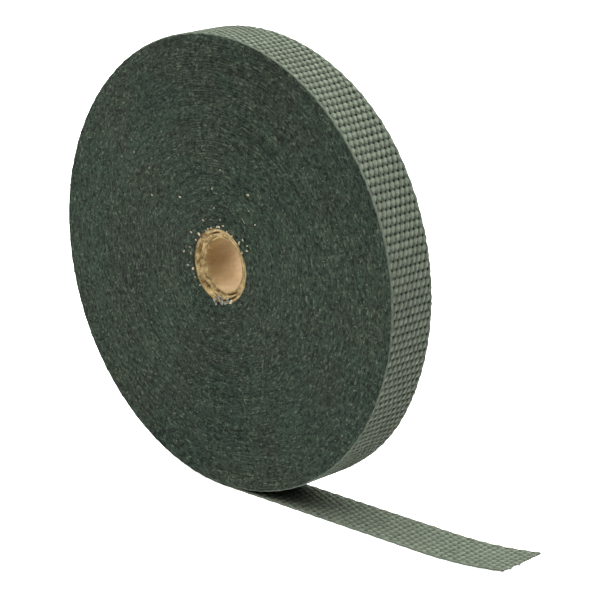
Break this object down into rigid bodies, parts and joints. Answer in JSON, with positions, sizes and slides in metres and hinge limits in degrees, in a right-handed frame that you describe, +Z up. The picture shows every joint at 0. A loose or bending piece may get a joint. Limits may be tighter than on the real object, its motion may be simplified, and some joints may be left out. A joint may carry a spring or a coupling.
{
  "type": "exhaust heat wrap roll",
  "caption": "Roll of woven heat wrap tape on a cardboard core, standing on its edge, with the tape's free end run out flat along the floor.",
  "frame": {"origin": "on the floor straight under the roll's axis, at the middle of the tape's width", "axes": "+Z up, Y along the roll's axis, +X along the free end of the tape"},
  "size_m": [0.2699, 0.0254, 0.2104],
  "materials": {
    "heat_wrap_cloth": "coarse plain weave, matt, grey-green",
    "core_cardboard": "plain wound board, matt"
  },
  "bodies": {
    "root": {"heat_wrap_tape": "heat_wrap_cloth", "cardboard_core": "core_cardboard"}
  },
  "joints": []
}
